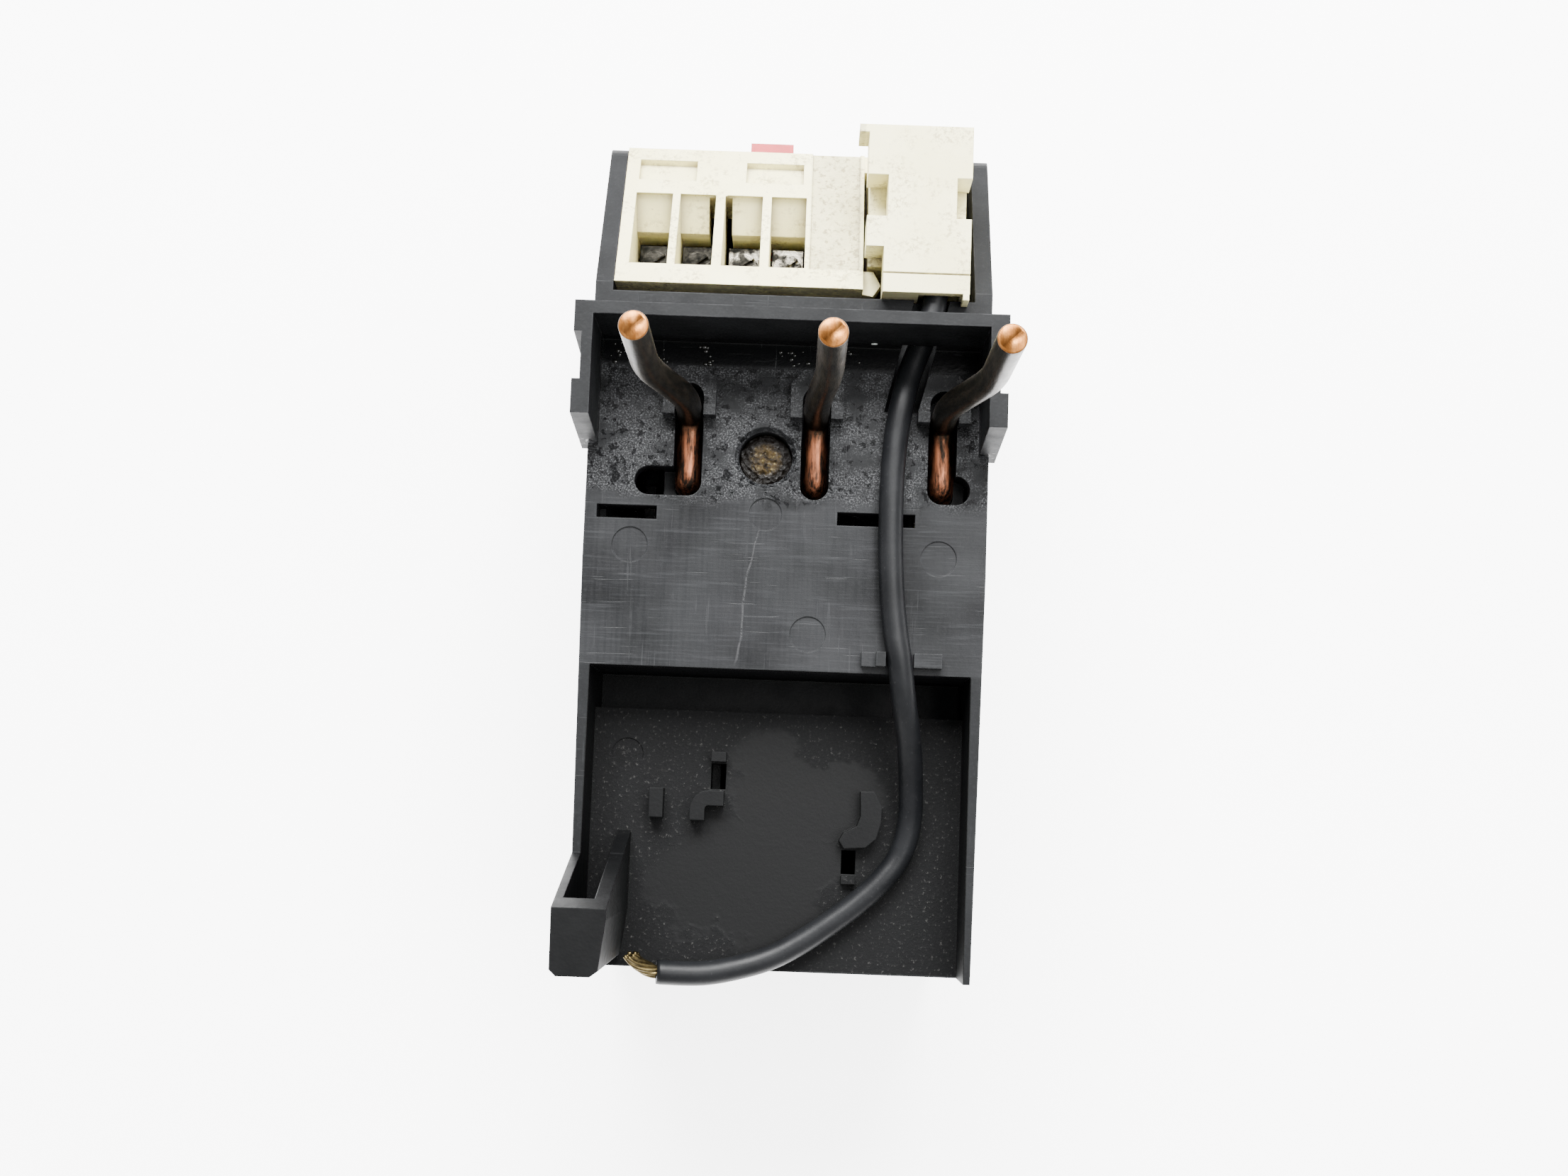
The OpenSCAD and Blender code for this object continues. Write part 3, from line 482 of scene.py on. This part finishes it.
def metal(name, light, dark, rough, stain=(0.1, 0.07, 0.04), stained=0.3, brushed=(1, 1, 0.1)):
    """Worn metal with brushing, roughness changes and dull stains."""
    s = Shader(name, Metallic=1.0)
    colour = s.mix(s.above(s.noise(0.8, 4, stretch=brushed), 0.3, 0.7), dark, light)
    spots = s.product(s.above(s.noise(1.4, 5, 0.7), 0.5, 0.66), stained)
    colour = s.mix(spots, colour, stain)
    s.set(Base_Color=colour,
          Roughness=s.blend(s.noise(0.7, 4, stretch=brushed), rough, rough + 0.22),
          Normal=s.bump(s.noise(0.25, 3, stretch=brushed), 0.01, s.round_edges(0.1)))
    return s.material


def shaded_well_metal():
    """Plating in the auxiliary wells, painted dark as shade, with painted reflections in the wells
    nearer the middle.
    """
    s = Shader("shaded_well_metal", Metallic=1.0)
    # painted shade: the plating is dark all over, as if deep in the wells
    shade_mottle = s.above(s.noise(1.1, 4, 0.6), 0.35, 0.65)
    colour = s.mix(shade_mottle, (0.03, 0.028, 0.023), (0.006, 0.006, 0.005))
    # painted reflection: brighter patches in the wells nearer the middle
    painted_reflection = s.product(s.above(s.x, *INNER_WELLS),
                      s.above(s.noise(1.6, 3, shift=(0.01, 0, 0)), 0.4, 0.6))
    colour = s.mix(painted_reflection, colour, (0.4, 0.37, 0.3))
    s.set(Base_Color=colour, Roughness=s.blend(s.noise(0.7, 4), 0.16, 0.34),
          Normal=s.bump(s.noise(0.3, 3), 0.012, s.round_edges(0.2)))
    return s.material


def pin_copper():
    """Oxidised contact pins: red and orange in the slots, partly copper tone and partly painted
    highlight streaks; bright where they were cut.
    """
    s = Shader("pin_copper", Metallic=1.0)
    streaks = s.noise(0.7, 5, 0.65, stretch=(1, 1, 0.12))
    brown = s.mix(s.above(streaks, 0.35, 0.68), (0.01, 0.0085, 0.0065), (0.045, 0.036, 0.026))
    olive = s.above(s.noise(5, 4, shift=(0, 0.01, 0)), 0.42, 0.62)
    brown = s.mix(s.product(olive, 0.5), brown, (0.024, 0.022, 0.015))
    along_y = s.noise(0.6, 5, 0.7, stretch=(1, 0.12, 1))
    # copper tone with painted highlight streaks along the pins in the slots
    copper_and_highlight = s.mix(s.above(along_y, 0.4, 0.62), (0.018, 0.013, 0.01), (0.27, 0.1, 0.05))
    colour = s.mix(s.product(s.above(s.z, *PIN_LOOPS_UNDER), s.above(s.y, *PIN_LOOPS_BEHIND)),
                   brown, copper_and_highlight)
    up = s.add("ShaderNodeSeparateXYZ",
               Vector=s.add("ShaderNodeNewGeometry").outputs["True Normal"]).outputs[2]
    cut = s.product(s.above(s.z, *PIN_CUT), s.above(up, 0.35, 0.6))
    face = s.mix(s.above(s.noise(0.5, 4, 0.6, stretch=(1, 0.25, 1)), 0.35, 0.7),
                 (0.2, 0.075, 0.018), (0.34, 0.145, 0.042))
    colour = s.mix(cut, colour, face)
    rough = s.blend(s.noise(1.2, 4), 0.26, 0.5)
    rough = s.mix_number(cut, rough, 0.42)
    s.set(Base_Color=colour, Roughness=rough,
          Normal=s.bump(s.noise(0.4, 4, stretch=(1, 1, 0.2)), 0.02))
    return s.material


def lead_pvc():
    """The lead's jacket."""
    s = Shader("lead_pvc", IOR=1.5, Specular_IOR_Level=0.18)
    colour = s.mix(s.above(s.noise(6, 4), 0.35, 0.7), (0.003, 0.0033, 0.004),
                   (0.0065, 0.0069, 0.0078))
    dust = s.above(s.noise(0.4, 5, 0.7), 0.6, 0.75)
    colour = s.mix(s.product(dust, 0.3), colour, (0.05, 0.05, 0.052))
    s.set(Base_Color=colour, Roughness=s.blend(s.noise(2.5, 4), 0.36, 0.52),
          Normal=s.bump(s.noise(1.6, 3), 0.03))
    return s.material


def strand_metal():
    """The lead's dull bare wires."""
    return metal("strand_metal", (0.15, 0.115, 0.05), (0.05, 0.038, 0.018), 0.3,
                 stain=(0.1, 0.07, 0.03), stained=0.5, brushed=(1, 1, 1))


def amber_resin():
    """Cloudy sealing resin with crystals in it, darker at its rim."""
    s = Shader("amber_resin", IOR=1.5, Specular_IOR_Level=0.16)
    crystals = s.cells(0.55)
    cloudy = s.noise(0.9, 6, 0.7, warp=0.8)
    colour = s.mix(s.above(cloudy, 0.36, 0.6), (0.004, 0.0025, 0.0012), (0.045, 0.03, 0.011))
    colour = s.mix(s.product(s.above(crystals, 0.42, 0.12), s.above(cloudy, 0.45, 0.65), 0.75),
                   colour, (0.3, 0.24, 0.1))
    dx = s.math("SUBTRACT", s.x, SEAL_CENTRE[0])
    dy = s.math("SUBTRACT", s.y, SEAL_CENTRE[1])
    away = s.math("SQRT", s.math("ADD", s.math("MULTIPLY", dx, dx), s.math("MULTIPLY", dy, dy)))
    colour = s.mix(s.above(away, 0.0011, 0.0021), colour, (0.003, 0.0022, 0.0015))
    s.set(Base_Color=colour, Roughness=s.blend(cloudy, 0.06, 0.3),
          Normal=s.bump(s.math("ADD", crystals, cloudy), 0.22))
    return s.material


def oil():
    """Dark clear oil."""
    s = Shader("oil", IOR=1.47)
    s.set(Base_Color=s.mix(s.noise(1.5, 3), (0.002, 0.0022, 0.0026), (0.012, 0.011, 0.009)),
          Roughness=s.blend(s.noise(0.5, 3), 0.03, 0.1), Normal=s.bump(s.noise(0.3, 3), 0.004))
    return s.material


def sleeve_cloth():
    """Woven glass sleeving."""
    s = Shader("sleeve_cloth")
    weave = s.add("ShaderNodeTexWave", {"bands_direction": "DIAGONAL"}, Vector=s.where,
                  Scale=900.0, Distortion=1.2, Detail=2.0).outputs[1]
    colour = s.mix(s.above(weave, 0.2, 0.8), (0.36, 0.33, 0.26), (0.72, 0.69, 0.58))
    s.set(Base_Color=colour, Roughness=s.blend(s.noise(1, 3), 0.75, 0.92),
          Normal=s.bump(weave, 0.08))
    return s.material


def speck_white():
    """Dried paint."""
    s = Shader("speck_white")
    s.set(Base_Color=s.mix(s.noise(0.3, 3), (0.4, 0.46, 0.42), (0.75, 0.8, 0.76)),
          Roughness=s.blend(s.noise(0.4, 3), 0.5, 0.8))
    return s.material


def paper_floor():
    """White paper that glows, because the photo is overexposed round the object."""
    s = Shader("paper_floor", Emission_Color=(1, 1, 1, 1), Emission_Strength=4.5)
    s.set(Base_Color=s.mix(s.above(s.noise(60, 3), 0.3, 0.7), (0.87, 0.87, 0.875),
                           (0.89, 0.89, 0.893)),
          Roughness=s.blend(s.noise(8, 3), 0.55, 0.7))
    return s.material


# Camera ------------------------------------------------------------------------------

def make_camera():
    """The photo's camera: above the object, with the front towards the top of the picture."""
    data = bpy.data.cameras.new("camera")
    data.lens = 45.08
    data.sensor_width = 36
    data.clip_start = 0.01
    place = Vector((-0.00135, 0.0326, 0.269))
    target = Vector((-0.0001, 0.0073, 0.052))
    picture_top = Vector((0.0366, -0.9993, 0))
    back = (place - target).normalized()
    right = (-back).cross(picture_top).normalized()
    up = back.cross(right)
    cam = bpy.data.objects.new("camera", data)
    cam.matrix_world = Matrix.Translation(place) @ Matrix((right, up, back)).transposed().to_4x4()
    bpy.context.collection.objects.link(cam)
    bpy.context.scene.camera = cam


# The lead ----------------------------------------------------------------------------

def make_strands():
    """Twisted bare wires that spread a little towards their ends."""
    rng = random.Random(5)
    core = smooth_path(STRAND_ROUTE, 6)
    wire_r, outer_wires, twist = 0.25 * MM, 8, 2.4
    parts = []
    for k in range(outer_wires + 1):
        ring_r = 0 if k == 0 else (0.62 * MM if k % 2 else 0.56 * MM)
        start = math.tau * k / outer_wires + rng.uniform(-0.1, 0.1)
        stop = len(core) - rng.randrange(0, 4)
        points = []
        for i, centre in enumerate(core[:stop]):
            t = i / (len(core) - 1)
            ahead = (core[min(i + 1, len(core) - 1)] - core[max(i - 1, 0)]).normalized()
            side = ahead.cross(Vector((0, 0, 1))).normalized()
            up = side.cross(ahead)
            a = start + twist * t
            r = ring_r * (0.92 + 0.1 * t)
            points.append(centre + (side * math.cos(a) + up * math.sin(a)) * r)
        parts.append(sweep(points, wire_r, 10))
    strands = new_object("bare_strands", *joined(parts))
    strands.data.materials.append(strand_metal())
    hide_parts("lead_strands")
    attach(strands, "housing")
    return strands


def make_lead():
    """The coil adaptor's lead, as one cord with its bare end."""
    path = smooth_path(LEAD_ROUTE, 8)
    ends = {0: 0.93, len(path) - 1: 0.95}

    def radius(i, a):
        ripple = noise.noise(path[i] * 260) * 0.012 + math.cos(2 * a) * 0.006
        return LEAD_R * ends.get(i, 0.985 + ripple)

    lead = new_object("coil_lead", *sweep(path, radius, 28))
    lead.data.materials.append(lead_pvc())
    strands = make_strands()
    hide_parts("lead")
    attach(lead, "housing")


# Pieces ------------------------------------------------------------------------------

def make_pins():
    """The bent contact pins, with turned corners and a cut end."""
    pin_r = 1.45 * MM
    slot_x = (0.0112, -0.00305, -0.0173)
    tip_x = (0.01455, -0.00405, -0.02065)
    rear_y, front_y = -0.0043, -0.0122
    foot_z, loop_z, bend_z, straight_z, tip_z = 0.0338, 0.05025, 0.06, 0.074, 0.09072
    corner_radii = [r * MM for r in (1.2, 2.6, 3.4, 3.6)]
    end_rise = (0.12, 0.2, 0.26, 0.24, 0.2)
    end_size = (0.995, 0.97, 0.9, 0.78, 0.4)
    material = pin_copper()
    for pole, (sx, tx) in enumerate(zip(slot_x, tip_x), 1):
        corners = [(sx, rear_y, foot_z), (sx, rear_y, loop_z), (sx, front_y, loop_z),
                   (sx, front_y, bend_z), (tx, front_y, straight_z), (tx, front_y, tip_z)]
        path = rounded_path(corners, corner_radii, 9)
        sizes = dict(enumerate(end_size, len(path)))
        tip = path[-1]
        path += [tip + Vector((0, 0, h * MM)) for h in end_rise]

        def radius(i, a, path=path, sizes=sizes):
            dent = noise.noise(path[i] * 420) * 0.012
            return pin_r * sizes.get(i, 0.994 + dent)

        pin = new_object(f"bent_pin_{pole}", *sweep(path, radius, 32))
        pin.data.materials.append(material)
        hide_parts(f"contact_pin_{pole}")
        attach(pin, "housing")


def make_resin():
    """A lumpy pool of sealing resin."""
    x, y = SEAL_CENTRE
    rings, sides = 14, 48
    outer, rim_z, low_z, top_z = 2.95 * MM, 50.2 * MM, 48.75 * MM, 50.48 * MM
    crown = 0.2 * MM
    verts, faces = [Vector((x, y, rim_z + crown))], []
    for i in range(1, rings + 1):
        r = outer * i / rings
        for k in range(sides):
            a = math.tau * k / sides
            v = Vector((x + r * math.cos(a), y + r * math.sin(a), 0))
            lump = noise.fractal(v * 900, 0.6, 2.0, 4) * 0.16 * MM
            fall = 0.25 * MM * (i / rings) ** 3
            v.z = min(rim_z + crown + lump * (1 - (i / rings) ** 4) - fall, top_z)
            verts.append(v)
    for k in range(sides):
        a = math.tau * k / sides
        verts.append(Vector((x + outer * math.cos(a), y + outer * math.sin(a), low_z)))

    def ring(i, k):
        return 1 + i * sides + k % sides

    for k in range(sides):
        faces.append((0, ring(0, k), ring(0, k + 1)))
        for i in range(rings):
            faces.append((ring(i, k), ring(i + 1, k), ring(i + 1, k + 1), ring(i, k + 1)))
    faces.append(tuple(ring(rings, k) for k in range(sides - 1, -1, -1)))
    resin = new_object("resin_pool", verts, faces)
    resin.data.materials.append(amber_resin())
    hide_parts("resin_seal")
    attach(resin, "housing")


def make_springs(steel):
    """Coils, each in the place of its CAD spring."""
    springs = {"test_button_spring": ("test_coil", "test_button_press", 0.73, 0.3 * MM),
               "reset_button_spring": ("reset_coil", "reset_button_press", 0.73, 0.3 * MM),
               "snap_spring": ("snap_coil", "trip_slide_travel", 0.68, 0.25 * MM)}
    turns, steps = 5, 140
    for node, (name, joint, keep, wire_r) in springs.items():
        low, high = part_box(node)
        r = (high[0] - low[0]) / 2 - wire_r
        x, z = (low[0] + high[0]) / 2, (low[2] + high[2]) / 2
        path = []
        for i in range(steps + 1):
            a = math.tau * turns * i / steps
            y = low[1] + wire_r + (high[1] - low[1] - 2 * wire_r) * i / steps
            path.append(Vector((x + r * math.cos(a), y, z - r * math.sin(a))))
        spring = new_object(name, *sweep(path, wire_r, 10))
        spring.data.materials.append(steel)
        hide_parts(node)
        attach(spring, "housing")
        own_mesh(spring)


def make_beads():
    """Oil beads on the face at the foot of the ledge, each a low dome."""
    rng = random.Random(11)
    rows, sides, flatness, foot_z = 4, 12, 0.5, 51.98
    clusters = ((19.0, 13), (14.5, 5), (9.0, 12), (-1.0, 11), (-6.0, 4))
    domes = []
    for x, count in clusters:
        for _ in range(count):
            centre = Vector((rng.gauss(x, 0.9), rng.uniform(-20.0, -17.7), foot_z)) * MM
            r = rng.uniform(0.1, 0.32) * MM
            verts = [centre + Vector((0, 0, r * flatness))]
            for i in range(1, rows + 1):
                u = math.pi / 2 * i / rows
                verts += [centre + Vector((r * math.sin(u) * math.cos(math.tau * k / sides),
                                           r * math.sin(u) * math.sin(math.tau * k / sides),
                                           r * flatness * math.cos(u)))
                          for k in range(sides)]
            faces = [(0, 1 + k, 1 + (k + 1) % sides) for k in range(sides)]
            for i in range(rows - 1):
                for k in range(sides):
                    a, b = 1 + i * sides + k, 1 + i * sides + (k + 1) % sides
                    faces.append((a, a + sides, b + sides, b))
            faces.append(tuple(1 + (rows - 1) * sides + k for k in range(sides - 1, -1, -1)))
            domes.append((verts, faces))
    beads = new_object("oil_beads", *joined(domes))
    beads.data.materials.append(oil())
    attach(beads, "housing")


def make_speck():
    """A crumb of dried paint on the ledge."""
    rng = random.Random(3)
    centre = Vector((-0.0092, -0.02025, 0.0541))
    verts, faces = [], []
    rows, sides = 6, 9
    for i in range(rows):
        u = math.pi * i / (rows - 1)
        for k in range(sides):
            a = math.tau * k / sides
            r = (0.28 + rng.uniform(-0.07, 0.07)) * MM * max(math.sin(u), 0.05)
            verts.append(centre + Vector((r * math.cos(a) * 1.3, 0.07 * MM * math.cos(u),
                                          r * math.sin(a))))
    for i in range(rows - 1):
        for k in range(sides):
            j = (k + 1) % sides
            faces.append((i * sides + k, i * sides + j, (i + 1) * sides + j, (i + 1) * sides + k))
    speck = new_object("ledge_speck", verts, faces)
    speck.data.materials.append(speck_white())
    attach(speck, "housing")


# The carried-over CAD nodes ----------------------------------------------------------

def finish_nodes(steel):
    """A material for every CAD node, by the slot that the record gives it or by its name."""
    looks = {
        "black_plastic": black_plastic(),
        "cream_plastic": cream_plastic(),
        "grey_plastic": dyed_plastic("grey_plastic", (0.30, 0.31, 0.32), (0.23, 0.24, 0.25)),
        "tan_plastic": dyed_plastic("tan_plastic", (0.42, 0.27, 0.12), (0.31, 0.19, 0.08)),
        "red_plastic": dyed_plastic("red_plastic", (0.40, 0.004, 0.01), (0.30, 0.003, 0.007)),
        "blue_plastic": dyed_plastic("blue_plastic", (0.003, 0.02, 0.13), (0.002, 0.014, 0.09)),
        "yellow_plastic": dyed_plastic("yellow_plastic", (0.50, 0.23, 0.003),
                                       (0.40, 0.17, 0.002)),
        "copper": metal("copper", (0.72, 0.36, 0.2), (0.45, 0.2, 0.1), 0.28),
        "brass": metal("brass", (0.72, 0.52, 0.24), (0.5, 0.35, 0.15), 0.26),
        "steel": steel,
        "bimetal": metal("bimetal", (0.52, 0.5, 0.46), (0.38, 0.36, 0.33), 0.3),
        "heater_wire": metal("heater_wire", (0.36, 0.32, 0.29), (0.2, 0.17, 0.15), 0.35),
        "sleeve": sleeve_cloth(),
        "resin": amber_resin(),
        "lead_pvc": lead_pvc(),
        "strands": strand_metal(),
    }
    slots = {s["node"]: s["material_slot"] for s in frame["record"]["subparts"]}
    well_metal = shaded_well_metal()
    own_looks = {"main_housing": housing_plastic(), "aux_terminal_clamps": well_metal,
                 "aux_terminal_screws": well_metal}
    for name, obj in frame["nodes"].items():
        obj.data.materials.clear()
        obj.data.materials.append(own_looks.get(name, looks[slots[name]]))


# Floor and light ---------------------------------------------------------------------

def make_floor():
    """A sheet that reaches past what any view can see of it."""
    half = 40.0
    floor = new_object("floor", [(-half, -half, 0), (half, -half, 0), (half, half, 0),
                                 (-half, half, 0)], [(0, 1, 2, 3)])
    floor.data.materials.append(paper_floor())


def area_light(name, place, target, size, power):
    """A rectangular lamp at place that faces target."""
    data = bpy.data.lights.new(name, "AREA")
    data.shape = "RECTANGLE"
    data.size, data.size_y = size
    data.energy = power
    light = bpy.data.objects.new(name, data)
    light.location = place
    light.rotation_euler = (Vector(target) - Vector(place)).to_track_quat("-Z", "Y").to_euler()
    bpy.context.collection.objects.link(light)


def make_light():
    """An even white surround, a key light over the front and a weak one from above."""
    world = bpy.data.worlds.new("studio")
    world.use_nodes = True
    background = world.node_tree.nodes["Background"]
    background.inputs["Color"].default_value = (1, 1, 1, 1)
    background.inputs["Strength"].default_value = 1.15
    bpy.context.scene.world = world
    area_light("key", (0.02, -0.38, 0.48), (0, -0.02, 0.04), (0.45, 0.3), 21)
    area_light("top", (-0.3, -0.05, 0.7), (0, 0, 0.04), (0.4, 0.4), 5)


def main():
    make_camera()
    make_lead()
    steel = metal("nickel_steel", (0.42, 0.4, 0.36), (0.26, 0.25, 0.22), 0.24,
                  stain=(0.35, 0.26, 0.14), stained=0.35)
    finish_nodes(steel)
    make_pins()
    make_resin()
    make_springs(steel)
    make_beads()
    make_speck()
    make_floor()
    make_light()


main()
